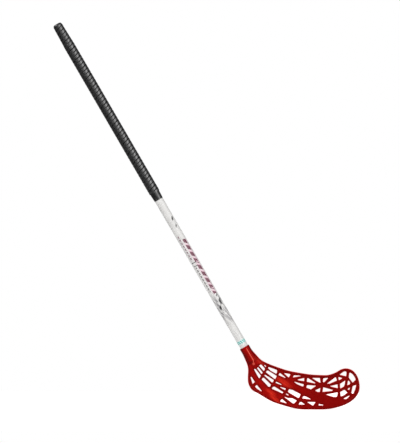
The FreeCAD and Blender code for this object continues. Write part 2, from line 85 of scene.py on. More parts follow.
def on_shaft(height, radius, angle):
    """A point at a height up the shaft, a radius from its axis and an angle from its front."""
    return UP * height + FRONT * (radius * math.cos(angle)) + RIGHT * (radius * math.sin(angle))


tape_low, tape_high, tape_bed, tape_crest = reach("grip_tape")
tube_low, tube_high, _, tube_skin = reach("shaft_tube")
label_low, _, _, label_skin = reach("label_band")
mouth = reach("socket_glue")[1]
print(f"grip {(tape_high - tape_low) / MM:.0f} mm long, {2 * tape_crest / MM:.1f} mm across the ribs")
print(f"tube {(tube_high - tube_low) / MM:.0f} mm long, mouth of the socket at {mouth / MM:.1f} mm")

# %% [markdown]
# ## Small helpers
# Colours are written as the hex values a painter would read off a chart. Blender shades in linear
# light, so one function converts them. Another adds a shader node, sets it and links it, and a third
# starts a finish on the shader that all surfaces share. A last one turns points and faces into a
# piece that rides on the stick.

# %% Colour, node and piece helpers


def colour(code):
    """Linear colour of an sRGB hex code such as C81E14."""
    parts = [int(code[i:i + 2], 16) / 255 for i in (0, 2, 4)]
    return [c / 12.92 if c <= 0.04045 else ((c + 0.055) / 1.055) ** 2.4 for c in parts] + [1]


def node(tree, kind, inputs=None, **settings):
    """Add a shader node; an input that is another node's socket is linked, any other is set."""
    made = tree.nodes.new("ShaderNode" + kind)
    for name, value in settings.items():
        setattr(made, name, value)
    for key, value in (inputs or {}).items():
        if isinstance(value, bpy.types.NodeSocket):
            tree.links.new(value, made.inputs[key])
        else:
            made.inputs[key].default_value = value
    return made


def math_of(operation, *values):
    """A number worked out from others by the shader."""
    return node(tree, "Math", dict(enumerate(values)), operation=operation).outputs[0]


def toward(direction):
    """How far the shaded point lies in a direction, in millimetres."""
    return node(tree, "VectorMath", {0: place, 1: direction / MM}, operation="DOT_PRODUCT").outputs["Value"]


def finish(name, **sockets):
    """A new material with one shader, whose sockets are set or linked by their names."""
    material = bpy.data.materials.new(name)
    material.use_nodes = True
    tree = material.node_tree
    tree.nodes.clear()
    shader = node(tree, "BsdfPrincipled")
    node(tree, "OutputMaterial", {"Surface": shader.outputs["BSDF"]})
    for key, value in sockets.items():
        shader.inputs[key.replace("_", " ")].default_value = value
    return material, tree, shader


def piece(name, mesh, material, slot, *solids, sharp=40):
    """Put a mesh in the scene as a piece of the stick that stands for the solids named."""
    thing = bpy.data.objects.new(name, mesh)
    bpy.context.collection.objects.link(thing)
    mesh.materials.clear()
    mesh.materials.append(material)
    mesh.polygons.foreach_set("use_smooth", [True] * len(mesh.polygons))
    mesh.set_sharp_from_angle(angle=math.radians(sharp))
    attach(thing, "root")
    if solids:
        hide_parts(*solids)
    print(f"{name}: {len(mesh.vertices)} points, {len(mesh.polygons)} faces")


print(f"the grey 808080 is {colour('808080')[0]:.3f} in linear light")

# %% [markdown]
# ## Camera
# The picture was taken square to the blade's face from far away, so there is next to no perspective.
# A long lens several metres off gives that. The distance follows from the height of the frame, and
# the aim is the middle of the picture.

# %% Camera
FRAME_HEIGHT = 1.084
LENS = 300
SENSOR = 36
AIM = Vector((0.2244, 0, -0.2659))

camera_data = bpy.data.cameras.new("camera")
camera_data.lens = LENS
camera_data.sensor_width = SENSOR
camera = bpy.data.objects.new("camera", camera_data)
bpy.context.collection.objects.link(camera)
camera.location = AIM + FRONT * (FRAME_HEIGHT * LENS / SENSOR)
camera.rotation_euler = (math.radians(90), 0, 0)
bpy.context.scene.camera = camera
print(f"camera {camera.location.y:.2f} m in front of the blade")

# %% [markdown]
# ## Blade material
# The blade is injection-moulded polyethylene, coloured through with a strong red. It is waxy: light goes in,
# scatters and comes out red, and there is hardly any mirror on it, so its gloss is set far below that of
# a hard plastic. A bright red line is painted at the very edge of each bar, as light that leaks out there.
# Beside that line a deep red is painted as shade, and on broad bands the blade's own fuller red shows.
# Towards the toe, which the light reaches less, a deeper red is painted as shade over all of it. The
# distance from the nearest edge is stored on the mesh and steers this painted light and shade. Faint flow
# lines and a fine grain, where the plastic shrank, break up the surface.

# %% Blade material
blade_red, tree, shader = finish("moulded_polyethylene_red", Roughness=0.3, IOR=1.51, Specular_IOR_Level=0.04)
place = node(tree, "TexCoord").outputs["Object"]
edge = node(tree, "Attribute", attribute_name="edge_mm").outputs["Fac"]
# Stops by distance from the edge: a painted bright line of light at the edge, painted shade beside it, the
# blade's own red farther in.
PAINTED_EDGE_LIGHT_AND_SHADE = ((0.5, "D0140C"), (1.2, "600404"), (4.5, "A00703"))
DEEP_TO = PAINTED_EDGE_LIGHT_AND_SHADE[-1][0]
TOE_FROM = 440
TOE_LENGTH = 60
TOE_SHADE_SHARE = 0.8
GRAIN = 1.4
FLOW = 14

depth = math_of("MULTIPLY", edge, 1 / DEEP_TO)
flow = node(tree, "TexNoise", {"Vector": place, "Scale": 1 / (FLOW * MM), "Detail": 3.0,
                               "Roughness": 0.55, "Distortion": 0.8}).outputs["Fac"]
body = node(tree, "ValToRGB", {"Fac": depth})
shades = body.color_ramp.elements
for stop, (from_edge, code) in zip((shades[0], shades.new(0.5), shades[-1]), PAINTED_EDGE_LIGHT_AND_SHADE):
    stop.position = from_edge / DEEP_TO
    stop.color = colour(code)
streak = node(tree, "ValToRGB", {"Fac": flow})
streak.color_ramp.elements[0].position = 0.35
streak.color_ramp.elements[0].color = colour("E2D8D6")
streak.color_ramp.elements[1].position = 0.68
streak.color_ramp.elements[1].color = colour("FFFFFF")
red_with_painted_light = node(tree, "Mix", {"Factor": 1.0, 6: body.outputs["Color"], 7: streak.outputs["Color"]},
            data_type="RGBA", blend_type="MULTIPLY").outputs[2]
# Painted shade: a deeper red towards the toe, kept off the painted bright line at the edge.
past_heel = math_of("SUBTRACT", toward(Vector((1, 0, 0))), TOE_FROM)
painted_toe_shade = node(tree, "MapRange", {"Value": past_heel, "From Max": TOE_LENGTH,
                                 "To Max": TOE_SHADE_SHARE}).outputs["Result"]
off_rim = node(tree, "MapRange", {"Value": edge, "From Min": PAINTED_EDGE_LIGHT_AND_SHADE[0][0],
                                  "From Max": PAINTED_EDGE_LIGHT_AND_SHADE[1][0]}).outputs["Result"]
red_with_painted_light = node(tree, "Mix", {"Factor": math_of("MULTIPLY", painted_toe_shade, off_rim), 6: red_with_painted_light, 7: colour("7C0403")},
            data_type="RGBA", blend_type="DARKEN").outputs[2]
print("blade material:", blade_red.name)

# %% [markdown]
# Lighter, warmer red is painted on the bands near the heel as highlights. There are four such patches: two
# on the lower band, one on the middle band, and a fainter one beside the neck. Each is a soft oval that lies
# along its band, broken up by a noise that is stretched the same way. Last comes the ridge of the socket,
# where a pale red is painted on as its highlight. How much is stored on the mesh, too.

# %% Painted highlights on the bands
WISP = 4


def painted_highlight_patch(centre, lie, long, short):
    """A soft wispy oval of painted highlight on the face of the blade, from its centre, its lie and its half
    sizes in mm.
    """
    along = Vector((math.cos(lie), 0, math.sin(lie)))
    over = Vector((-math.sin(lie), 0, math.cos(lie)))
    run = math_of("SUBTRACT", toward(along), centre.dot(along) / MM)
    rise = math_of("SUBTRACT", toward(over), centre.dot(over) / MM)
    far = node(tree, "VectorMath", {0: node(tree, "CombineXYZ", {
        0: math_of("MULTIPLY", run, 1 / long), 1: math_of("MULTIPLY", rise, 1 / short)}).outputs["Vector"]},
        operation="LENGTH").outputs["Value"]
    grown = node(tree, "MapRange", {"Value": far, "From Min": 1.0, "From Max": 0.2},
                 interpolation_type="SMOOTHSTEP").outputs["Result"]
    drawn = node(tree, "CombineXYZ", {0: math_of("MULTIPLY", run, 0.2 / WISP),
                                      1: math_of("MULTIPLY", rise, 1 / WISP)}).outputs["Vector"]
    wisps = node(tree, "TexNoise", {"Vector": drawn, "Scale": 1.0, "Detail": 2.0}).outputs["Fac"]
    patchy = node(tree, "MapRange", {"Value": wisps, "From Min": 0.3, "From Max": 0.62, "To Min": 0.3,
                                     "To Max": 1.0}).outputs["Result"]
    return math_of("MULTIPLY", grown, patchy)


# Centre in metres, lie in degrees, half length and half width in mm, and strength.
PAINTED_HIGHLIGHT_PATCHES = (
    (Vector((0.398, 0, -0.684)), -36, 22, 6.5, 1.0),
    (Vector((0.407, 0, -0.699)), -36, 24, 6.5, 1.0),
    (Vector((0.429, 0, -0.6595)), -33, 31, 10, 0.95),
    (Vector((0.3697, 0, -0.6076)), -38, 24, 9, 0.5),
)
painted_highlights = 0
for centre, lie, long, short, strength in PAINTED_HIGHLIGHT_PATCHES:
    painted_highlights = math_of("MULTIPLY_ADD", painted_highlight_patch(centre, math.radians(lie), long, short), strength, painted_highlights)
# Painted highlights: a lighter, warmer red laid over the bands in the patches.
with_painted_highlights = node(tree, "Mix", {"Factor": painted_highlights, 6: red_with_painted_light, 7: colour("CC2A19")}, data_type="RGBA").outputs[2]
# Painted highlight: a pale red on the ridge of the socket and the pin's mark.
ridge_highlight_share = node(tree, "MapRange", {"Value": node(tree, "Attribute", attribute_name="ridge_highlight").outputs["Fac"],
                                 "From Min": 0.4, "From Max": 0.9, "To Max": 0.9}).outputs["Result"]
with_ridge_highlight = node(tree, "Mix", {"Factor": ridge_highlight_share, 6: with_painted_highlights, 7: colour("E8604E")}, data_type="RGBA").outputs[2]
tree.links.new(with_ridge_highlight, shader.inputs["Base Color"])

grain = node(tree, "TexNoise", {"Vector": place, "Scale": 1 / (GRAIN * MM), "Detail": 2.0}).outputs["Fac"]
gloss = node(tree, "MapRange", {"Value": flow, "From Min": 0.3, "From Max": 0.7,
                                "To Min": 0.24, "To Max": 0.36}).outputs["Result"]
tree.links.new(gloss, shader.inputs["Roughness"])
shrink = node(tree, "Bump", {"Height": grain, "Strength": 0.12, "Distance": 0.15 * MM})
tree.links.new(shrink.outputs["Normal"], shader.inputs["Normal"])
print("blooms:", len(PAINTED_HIGHLIGHT_PATCHES), "with wisps", WISP, "mm wide")

# %% [markdown]
# ## Blade
# The solid has the outline and all the windows in the right places, but square edges. A moulding can't
# have those: plastic would stick in the tool. Bevelling hundreds of tangled edges is fragile, so the
# solid is cut into small voxels and smoothed, which rounds every edge by about a millimetre. Smoothing
# also wears thin bars away, so in a later step the skin is grown back outwards.

# %% Round the moulding's edges
VOXEL = 0.55 * MM
ROUNDING_PASSES = 3
GROW_BACK = 0.5 * MM


def shaped(mesh, **modifiers):
    """The mesh after some modifiers, each a kind with its settings."""
    draft = bpy.data.objects.new("draft", mesh)
    bpy.context.collection.objects.link(draft)
    for kind, settings in modifiers.items():
        modifier = draft.modifiers.new(kind, kind)
        for name, value in settings.items():
            setattr(modifier, name, value)
    result = bpy.data.meshes.new_from_object(draft.evaluated_get(bpy.context.evaluated_depsgraph_get()))
    bpy.data.objects.remove(draft)
    return result


drawn_blade = bmesh.new()
drawn_blade.from_mesh(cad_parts["blade"].data)
bmesh.ops.remove_doubles(drawn_blade, verts=drawn_blade.verts, dist=MM / 1000)
welded = bpy.data.meshes.new("blade_welded")
drawn_blade.to_mesh(welded)
drawn_blade.free()
moulded = shaped(welded, REMESH={"mode": "VOXEL", "voxel_size": VOXEL},
                 SMOOTH={"iterations": ROUNDING_PASSES, "factor": 0.5})
moulded.name = "blade_moulding"
print(f"rounded moulding: {len(moulded.polygons)} faces")

# %% [markdown]
# The socket runs into the face of the blade in one sweep, but on the solid it ends in a short dome. Front
# and back of the blade are height fields over its plane, so the sweep is easy to work out: one height for
# the socket as drawn, one for a socket that dies away slowly, and a soft maximum of the second with the
# face. Each point moves by the difference, and the outline stays where it is.

# %% Sweep the socket into the face
NECK_RADIUS = 12 * MM
DOME_FROM = 41 * MM
DOME_ROUND = 8 * MM
THROAT = 54 * MM
SWEEP_FROM = 36 * MM
SWEEP_TO = 66 * MM
SWEEP_SPREAD = 7 * MM
BLEND = 6 * MM
RIM_HALF = 3.3 * MM
WEB_HALF = 1.8 * MM


def eased(share):
    """A share from 0 to 1 with a slow start and end."""
    share = min(max(share, 0), 1)
    return share * share * (3 - 2 * share)


def from_axis(point):
    """Height of a point up the shaft, its offset to the right of the axis, and its radius."""
    height = point.dot(UP)
    return height, point.dot(RIGHT), (point - UP * height).length


def swept_height(depth, side):
    """Height of the face as drawn and as swept, at a depth below the mouth and to one side of the axis."""
    drawn_face = RIM_HALF if depth < THROAT else WEB_HALF
    face = RIM_HALF + (WEB_HALF - RIM_HALF) * eased((depth - THROAT) / (SWEEP_TO - THROAT))
    into_dome = min(max(depth - DOME_FROM, 0), DOME_ROUND)
    radius = NECK_RADIUS - DOME_ROUND + math.sqrt(DOME_ROUND ** 2 - into_dome ** 2)
    if depth > DOME_FROM + DOME_ROUND:
        radius = 0
    drawn = max(drawn_face, math.sqrt(max(radius ** 2 - side ** 2, 0)))
    gone = eased((depth - SWEEP_FROM) / (SWEEP_TO - SWEEP_FROM))
    spread = NECK_RADIUS + SWEEP_SPREAD * gone
    crest = NECK_RADIUS + (WEB_HALF - NECK_RADIUS) * gone
    inside = 1 - (side / spread) ** 2
    swept = crest * math.sqrt(inside) if inside > 0 else spread - abs(side)
    near = max(BLEND - abs(swept - face), 0)
    return drawn, max(swept, face) + near ** 2 / (4 * BLEND)


print(f"the socket dies away {SWEEP_TO / MM:.0f} mm below its mouth")

# %% [markdown]
# The bands of the blade are crowned by their distance from the nearest edge. Points whose surface faces
# sideways are the walls of windows and rim, and a search tree over them gives the nearest one for every
# other point. The blade is hooked towards its toe, so the middle of a wall is worked out from the hook.

# %% Find the walls
WALL_TURN = 0.6
HOOK_FROM = 0.4025
HOOK_RADIUS = 1.023
places = [v.co.copy() for v in moulded.vertices]
facings = [v.normal.copy() for v in moulded.vertices]
wall_points = []
for point, facing in zip(places, facings):
    past = max(point.x - HOOK_FROM, 0)
    from_middle = point.y + HOOK_RADIUS - math.sqrt(HOOK_RADIUS ** 2 - past ** 2)
    if abs(facing.y) < WALL_TURN and abs(from_middle) < WEB_HALF * 0.8:
        wall_points.append((point.x, 0, point.z))
walls = kdtree.KDTree(len(wall_points))
for number, spot in enumerate(wall_points):
    walls.insert(spot, number)
walls.balance()
print("points on walls:", len(wall_points))

# %% [markdown]
# The bars in the fan under the neck are the thinnest of all, and growing them back would make them clumsy.
# A soft oval marks the fan, and inside it the skin stays as smoothing left it. The socket has a low ridge,
# a little to the right of its middle, which bends into the small round mark of an ejector pin. One function
# gives the height of both and how much pale red is painted on them as a highlight.

# %% Fan, ridge and pin
FAN = Vector((0.386, 0, -0.645))
FAN_LIE = math.radians(-40)
FAN_LONG = 50 * MM
FAN_SHORT = 34 * MM
FAN_SOFT = 0.25
RIDGE = 1.8 * MM
RIDGE_LEFT = 8.5 * MM
RIDGE_RIGHT = 2.4 * MM
RIDGE_SIDE = 2.8 * MM
RIDGE_BEND = 9 * MM
RIDGE_RUNOUT = 4 * MM
MOUTH_RUNOUT = 4 * MM
MOUTH_LIP = 2 * MM
PIN_HEIGHT = -709.3 * MM
PIN_SIDE = -1.0 * MM
PIN_RADIUS = 6.5 * MM
PIN_RISE = 1.2 * MM


def in_fan(point):
    """One inside the oval of the fan of bars under the neck, nothing outside it, with a soft edge."""
    run = (point.x - FAN.x) * math.cos(FAN_LIE) + (point.z - FAN.z) * math.sin(FAN_LIE)
    rise = (point.z - FAN.z) * math.cos(FAN_LIE) - (point.x - FAN.x) * math.sin(FAN_LIE)
    return eased((1 - math.hypot(run / FAN_LONG, rise / FAN_SHORT)) / FAN_SOFT)


def ridge_and_pin(height, side):
    """How far the ridge and the pin's mark rise from the socket at a place, and how much painted highlight
    lies there.
    """
    bend = eased((height - PIN_HEIGHT) / RIDGE_BEND)
    beyond = side - PIN_SIDE - (RIDGE_SIDE - PIN_SIDE) * bend
    beside = min(abs(beyond) / (RIDGE_RIGHT if beyond > 0 else RIDGE_LEFT), 1)
    crest = min(abs(beyond) / RIDGE_RIGHT, 1)
    from_pin = max((height - PIN_HEIGHT) / RIDGE_RUNOUT, 0)
    from_mouth = max((mouth - MOUTH_LIP - height) / MOUTH_RUNOUT, 0)
    fade = min(from_pin, from_mouth, 1)
    pin = min(math.hypot(height - PIN_HEIGHT, side - PIN_SIDE) / PIN_RADIUS, 1)
    highlight_level = max((1 - crest ** 2) ** 2 * fade, (1 - pin ** 2) ** 2)
    return RIDGE * (1 - beside) ** 1.5 * fade + PIN_RISE * (1 - pin ** 2) ** 2, highlight_level


print(f"the pin's mark is {(mouth - PIN_HEIGHT) / MM:.1f} mm below the mouth of the socket")

# %% [markdown]
# Now every point moves to its new place: grown back, crowned, swept and ridged. The round flanks of the
# socket have no edge near, so there the distance is counted from the outline and slowed down, which spreads
# the painted shade of the edges over them, more on the left, which lies in the shade of the ridge. At the
# socket's foot it passes over to the true distance.

# %% Crown the bands and ridge the socket
CROWN = 0.55 * MM
CROWN_AT = 7 * MM
NECK_EDGE = 1.0 * MM
NECK_SKIN = 1.2 * MM
NECK_FOOT = 32 * MM
NECK_LEFT = 0.33
NECK_RIGHT = 0.7
neck_end = DOME_FROM + DOME_ROUND
bore_end = tube_low - MM

edge_mm, ridge_highlight, moved = [], [], []
for point, facing in zip(places, facings):
    height, side, radius = from_axis(point)
    depth = mouth - height
    in_neck = radius < NECK_RADIUS + NECK_SKIN and depth < neck_end
    in_bore = radius < NECK_RADIUS - MM and height > bore_end
    gap = walls.find((point.x, 0, point.z))[2]
    highlight_level = 0
    if in_neck:
        inward = max(NECK_RADIUS - abs(side), 0)
        # The slower the distance grows, the further the painted shade spreads over the flank; more on the
        # left.
        filled = NECK_LEFT if side < RIDGE_SIDE else NECK_RIGHT
        neck_gap = NECK_EDGE + inward * filled
        gap = neck_gap + (gap - neck_gap) * eased((depth - NECK_FOOT) / (neck_end - NECK_FOOT))
    share = min(gap / CROWN_AT, 1)
    lift = 0 if in_bore else GROW_BACK * (1 - in_fan(point))
    if not in_neck:
        lift += CROWN * share * (2 - share) * abs(facing.y)
    grown = point + facing * lift
    if depth < SWEEP_TO and abs(side) < 3 * NECK_RADIUS and not in_bore:
        drawn, swept = swept_height(depth, side)
        tall = abs(grown.y) + (swept - drawn) * min(abs(point.y) / drawn, 1)
        if swept > drawn:
            tall = max(abs(grown.y), min(tall, swept + GROW_BACK))
        grown.y = math.copysign(tall, point.y)
    if facing.y < 0 and height > PIN_HEIGHT - 2 * PIN_RADIUS and radius < NECK_RADIUS + MM and not in_bore:
        ridge, highlight_level = ridge_and_pin(height, side)
        grown += FRONT * ridge
    edge_mm.append(gap / MM)
    ridge_highlight.append(highlight_level)
    moved.extend(grown)
moulded.vertices.foreach_set("co", moved)
moulded.attributes.new("edge_mm", "FLOAT", "POINT").data.foreach_set("value", edge_mm)
moulded.attributes.new("ridge_highlight", "FLOAT", "POINT").data.foreach_set("value", ridge_highlight)
piece("blade_moulding", moulded, blade_red, "blade", "blade", sharp=180)
print(f"widest band reaches {max(edge_mm):.1f} mm from its edges")

# %% [markdown]
# ## Shaft lacquer and print
# The tube is glass and carbon fibre in resin, sprayed with white lacquer, printed and sealed under a
# clear coat. The print is a plain pattern in wine red, pink, grey and black: slanted bars, a dashed line
# and brushed streaks. It is drawn by nodes in two measures, up the shaft and round the tube, so that
# it has no seam and needs no picture. The same print is on the back of the tube.

# %% Measures for the print
lacquer, tree, shader = finish("white_lacquer_printed", Roughness=0.42, IOR=1.5, Coat_Weight=0.12,
                               Coat_Roughness=0.12, Coat_IOR=1.5)
place = node(tree, "TexCoord").outputs["Object"]

above_mouth = math_of("SUBTRACT", toward(UP), mouth / MM)
turn = math_of("ARCTAN2", toward(RIGHT), toward(FRONT))
half_turn = node(tree, "Math", {0: turn, 1: math.pi / 2, 2: -math.pi / 2}, operation="WRAP").outputs[0]
across = math_of("MULTIPLY", half_turn, tube_skin / MM)
print(f"half of the tube's skin is {math.pi * tube_skin / MM:.1f} mm wide")

# %% [markdown]
# A mark is the product of two soft-edged slots, one along the shaft and one across it. The edge of a
# screen-printed mark is about a fifth of a millimetre wide. Slanting the first measure by the second
# turns a block into a bar that leans round the tube, and a repeating measure makes a row of them.

# %% Slots, bars and dashes


def slot(value, low, high, soft=0.2):
    """One inside a slot and nothing outside it, with soft edges."""
    opens = node(tree, "MapRange", {"Value": value, "From Min": low - soft, "From Max": low + soft},
                 interpolation_type="SMOOTHSTEP").outputs["Result"]
    closes = node(tree, "MapRange", {"Value": value, "From Min": high + soft, "From Max": high - soft},
                  interpolation_type="SMOOTHSTEP").outputs["Result"]
    return math_of("MULTIPLY", opens, closes)


def mark(along, side, soft=0.2):
    """A mark between two heights and between two sides, each a measure with its two limits."""
    return math_of("MULTIPLY", slot(*along, soft), slot(*side, soft))


def joined(*masks):
    """Several marks as one mask."""
    whole = masks[0]
    for other in masks[1:]:
        whole = math_of("MAXIMUM", whole, other)
    return whole


BAR_STEP = 18.5
BAR_LENGTH = 12
bar_lean = math_of("ADD", above_mouth, math_of("MULTIPLY", across, 0.75))
bar_row = math_of("MODULO", bar_lean, BAR_STEP)
long_row = math_of("MODULO", bar_lean, BAR_STEP * 4)
bar_zone = mark((above_mouth, 150, 304), (across, 1.2, 9.6))
bars = math_of("MULTIPLY", slot(bar_row, 0, BAR_LENGTH), bar_zone)
notch = mark((long_row, 21, 24), (across, 4.2, 12))
bars = math_of("MULTIPLY", bars, math_of("SUBTRACT", 1, notch))
halo = math_of("MULTIPLY", slot(bar_row, -2, BAR_LENGTH + 5, 3),
               mark((above_mouth, 150, 302), (across, 0.6, 11), 2.2))

DASH_STEP = 8.6
dash_row = math_of("MODULO", above_mouth, DASH_STEP)
dash = slot(dash_row, 0, 5.8)
dark_dashes = math_of("MULTIPLY", dash, mark((above_mouth, 158, 228), (across, -6.4, -3.4)))
pale_dashes = math_of("MULTIPLY", dash, mark((above_mouth, 246, 316), (across, -6.4, -3.4)))
fine_line = mark((above_mouth, 200, 316), (across, -8.6, -7.9))
print("print:", BAR_STEP, "mm between bars,", DASH_STEP, "mm between dashes")

# %% [markdown]
# Brushed streaks are a noise that is stretched along a slanted line, cut off hard, and kept to one
# stretch above the blade. A few black slashes and a thin bracket of two bars finish the print.

# %% Streaks and slashes
STREAK = 2.4
streak_place = node(tree, "CombineXYZ", {
    0: math_of("MULTIPLY", math_of("ADD", across, math_of("MULTIPLY", above_mouth, 0.22)), 1 / STREAK),
    1: math_of("MULTIPLY", above_mouth, 1 / (STREAK * 9))}).outputs["Vector"]
brush = node(tree, "TexNoise", {"Vector": streak_place, "Scale": 1.0, "Detail": 2.0,
                                "Roughness": 0.5}).outputs["Fac"]
streaks = math_of("MULTIPLY", slot(brush, 0.5, 2, 0.04), slot(above_mouth, 72, 142, 16))

slash_lean = math_of("ADD", above_mouth, math_of("MULTIPLY", across, -1.1))
slashes = joined(
    mark((slash_lean, 333, 338), (across, 3.2, 7.4)),
    mark((slash_lean, 350, 358), (across, 3.8, 9.0)),
    mark((slash_lean, 110, 119), (across, -4.6, 0.8)),
    mark((slash_lean, 114, 127), (across, 3.0, 9.0)),
    mark((slash_lean, 136, 140), (across, 3.8, 9.6)))
bracket = joined(
    mark((above_mouth, 230.6, 232.4), (across, -9.5, 3.0)),
    mark((above_mouth, 239.6, 241.4), (across, -9.5, 3.0)))
print("streaks of a brush", STREAK, "mm wide")

# %% [markdown]
# The inks are laid over the white one after another, palest first. The lacquer itself is not one flat
# white: it is a little warmer and greyer in patches. Spraying leaves a faint orange-peel skin, which
# the gloss shows best.

# %% Lay the inks over the lacquer
cloud = node(tree, "TexNoise", {"Vector": place, "Scale": 1 / (34 * MM), "Detail": 3.0}).outputs["Fac"]
ground = node(tree, "ValToRGB", {"Fac": cloud})
ground.color_ramp.elements[0].position = 0.3
ground.color_ramp.elements[0].color = colour("D6D5D3")
ground.color_ramp.elements[1].position = 0.7
ground.color_ramp.elements[1].color = colour("E0DFDD")
painted = ground.outputs["Color"]
INKS = (
    (halo, "DDB2C2", 0.8),
    (streaks, "7C797D", 0.85),
    (pale_dashes, "83606F", 0.9),
    (dark_dashes, "4E474B", 0.85),
    (fine_line, "6E6A6E", 0.8),
    (bars, "601836", 0.95),
    (bracket, "343234", 0.95),
    (slashes, "1D1C1E", 0.95),
)
for mask, ink, cover in INKS:
    painted = node(tree, "Mix", {"Factor": math_of("MULTIPLY", mask, cover), 6: painted, 7: colour(ink)},
                   data_type="RGBA").outputs[2]
tree.links.new(painted, shader.inputs["Base Color"])
peel = node(tree, "TexNoise", {"Vector": place, "Scale": 1 / (2.2 * MM), "Detail": 1.0}).outputs["Fac"]
skin = node(tree, "Bump", {"Height": peel, "Strength": 0.03, "Distance": 0.06 * MM})
tree.links.new(skin.outputs["Normal"], shader.inputs["Normal"])
print("inks laid:", len(INKS))

# %% [markdown]
# ## Shaft
# The tube is wound on a mandrel, so it is round all the way and narrows a little towards the blade. The
# solid has the right sizes but few facets. Its outline is read ring by ring and turned again with many
# more, with the bore inside, so that the long highlight on the lacquer has no kinks.

# %% Turn the shaft


def turned(name, rings, sides):
    """A closed ring of revolution round the shaft, from heights and radii in order round its wall."""
    points = []
    for height, radius in rings:
        for step in range(sides):
            points.append(on_shaft(height, radius, 2 * math.pi * step / sides))
    faces = []
    for ring in range(len(rings)):
        low, high = ring * sides, (ring + 1) % len(rings) * sides
        for step in range(sides):
            after = (step + 1) % sides
            faces.append((low + step, low + after, high + after, high + step))
    mesh = bpy.data.meshes.new(name)
    mesh.from_pydata(points, [], faces)
    repair = bmesh.new()
    repair.from_mesh(mesh)
    bmesh.ops.recalc_face_normals(repair, faces=repair.faces)
    repair.to_mesh(mesh)
    repair.free()
    return mesh


def outline(name, step):
    """Heights of a round solid with its outer and inner radius, one pair for each step of height."""
    rings = {}
    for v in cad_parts[name].data.vertices:
        height = round(v.co.dot(UP) / step)
        radius = (v.co - UP * v.co.dot(UP)).length
        low, high, tall = rings.get(height, (1, 0, 0))
        rings[height] = (min(low, radius), max(high, radius), v.co.dot(UP))
    return [(tall, low, high) for _, (low, high, tall) in sorted(rings.items())]


ROUND_END = 0.5 * MM
SIDES = 96
wall = [ring for ring in outline("shaft_tube", MM) if ring[2] > tube_skin * 0.9]
skin_rings = [(height, outer) for height, inner, outer in wall]
bore_rings = [(height, inner) for height, inner, outer in reversed(wall) if inner < outer - MM]
foot, head = skin_rings[0], skin_rings[-1]
skin_rings[0] = (foot[0] + ROUND_END, foot[1])
skin_rings[-1] = (head[0] - ROUND_END, head[1])
shaft_mesh = turned("shaft", [(foot[0], foot[1] - ROUND_END)] + skin_rings
                    + [(head[0], head[1] - ROUND_END)] + bore_rings, SIDES)
piece("shaft", shaft_mesh, lacquer, "shaft_tube", "shaft_tube")

# %% [markdown]
# ## Grip foam
# The grip is polyurethane foam on a fleece, cast with a thin closed skin so that it is tacky and not
# hard. It is black right through. The skin is a satin, not a gloss, and is pricked with small pores. The
# crests of the ribs are worn a shade paler and polished by the hands, so only they catch the light. The
# flanks and hollows stay matt.

# %% Grip foam
PORE = 1.5
foam, tree, shader = finish("polyurethane_foam_black", Roughness=0.3, IOR=1.58)
place = node(tree, "TexCoord").outputs["Object"]
rib = node(tree, "Attribute", attribute_name="rib").outputs["Fac"]
mottle = node(tree, "TexNoise", {"Vector": place, "Scale": 1 / (6 * MM), "Detail": 4.0}).outputs["Fac"]
worn = node(tree, "ValToRGB", {"Fac": node(tree, "Math", {0: rib, 1: mottle, 2: -0.1},
                                           operation="MULTIPLY_ADD").outputs[0]})
worn.color_ramp.elements[0].color = colour("060607")
worn.color_ramp.elements[1].color = colour("1A1A1B")
tree.links.new(worn.outputs["Color"], shader.inputs["Base Color"])
satin = node(tree, "MapRange", {"Value": mottle, "From Min": 0.3, "From Max": 0.7, "To Min": 0.26,
                                "To Max": 0.34}).outputs["Result"]
tree.links.new(satin, shader.inputs["Roughness"])
polish = node(tree, "MapRange", {"Value": rib, "From Min": 0.7, "From Max": 0.9, "To Min": 0.15,
                                 "To Max": 1.0}).outputs["Result"]
tree.links.new(polish, shader.inputs["Specular IOR Level"])
pores = node(tree, "TexVoronoi", {"Vector": place, "Scale": 1 / (PORE * MM)}).outputs["Distance"]
pits = node(tree, "MapRange", {"Value": pores, "From Min": 0.0, "From Max": 0.3}).outputs["Result"]
pricked = node(tree, "Bump", {"Height": pits, "Strength": 0.05, "Distance": 0.2 * MM})
tree.links.new(pricked.outputs["Normal"], shader.inputs["Normal"])
print("grip foam: a pore every", PORE, "mm")

# %% [markdown]
# ## Grip winding
# One ribbed strip is wound up the handle, so its edge runs round the grip as a seam and its three ribs
# climb with it. The section of the strip is drawn once, from seam to seam, and carried round a helix.
# It is wound a little past both ends and trimmed square, as a player trims the tape with a knife. It
# is drawn tighter over the top of the handle, where the winding starts, so it is thinner there.

# %% Draw the strip's section
LEAD = 26.1 * MM
SEAM = 0.6 * MM
RIBS = 3
RIB_HEIGHT = 0.9 * MM
GROOVE = 0.6 * MM
RIB_CROWN = 0.25
PLUMP = 0.85 * MM
EDGE_ROUND = 0.7 * MM
STEPS_ACROSS = 72
width = LEAD - SEAM
pitch = width / RIBS
top_row = []
for step in range(STEPS_ACROSS + 1):
    along = width * step / STEPS_ACROSS
    from_groove = abs((along + pitch / 2) % pitch - pitch / 2)
    rise = (1 - math.exp(-(from_groove / GROOVE) ** 2)) * (1 - RIB_CROWN * (1 - 2 * from_groove / pitch) ** 2)
    from_edge = min(along, width - along)
    drop = EDGE_ROUND * (1 - min(from_edge / EDGE_ROUND, 1)) ** 2
    top_row.append((along, tape_crest + PLUMP - RIB_HEIGHT * (1 - rise) - drop, rise))
under_row = [(width, tape_bed, 0), (width / 2, tape_bed, 0), (0, tape_bed, 0)]
section = top_row + under_row
print(f"section of the strip: {len(section)} points, {width / MM:.1f} mm wide")

# %% [markdown]
# Every point of the section is lifted by one lead for each turn, and neighbouring sections are joined by
# faces. The share of rib height goes along as an attribute, so that the foam knows its crests.

# %% Wind it
STEPS_ROUND = 64
TIGHT_LENGTH = 55 * MM
TIGHT_SHARE = 0.72

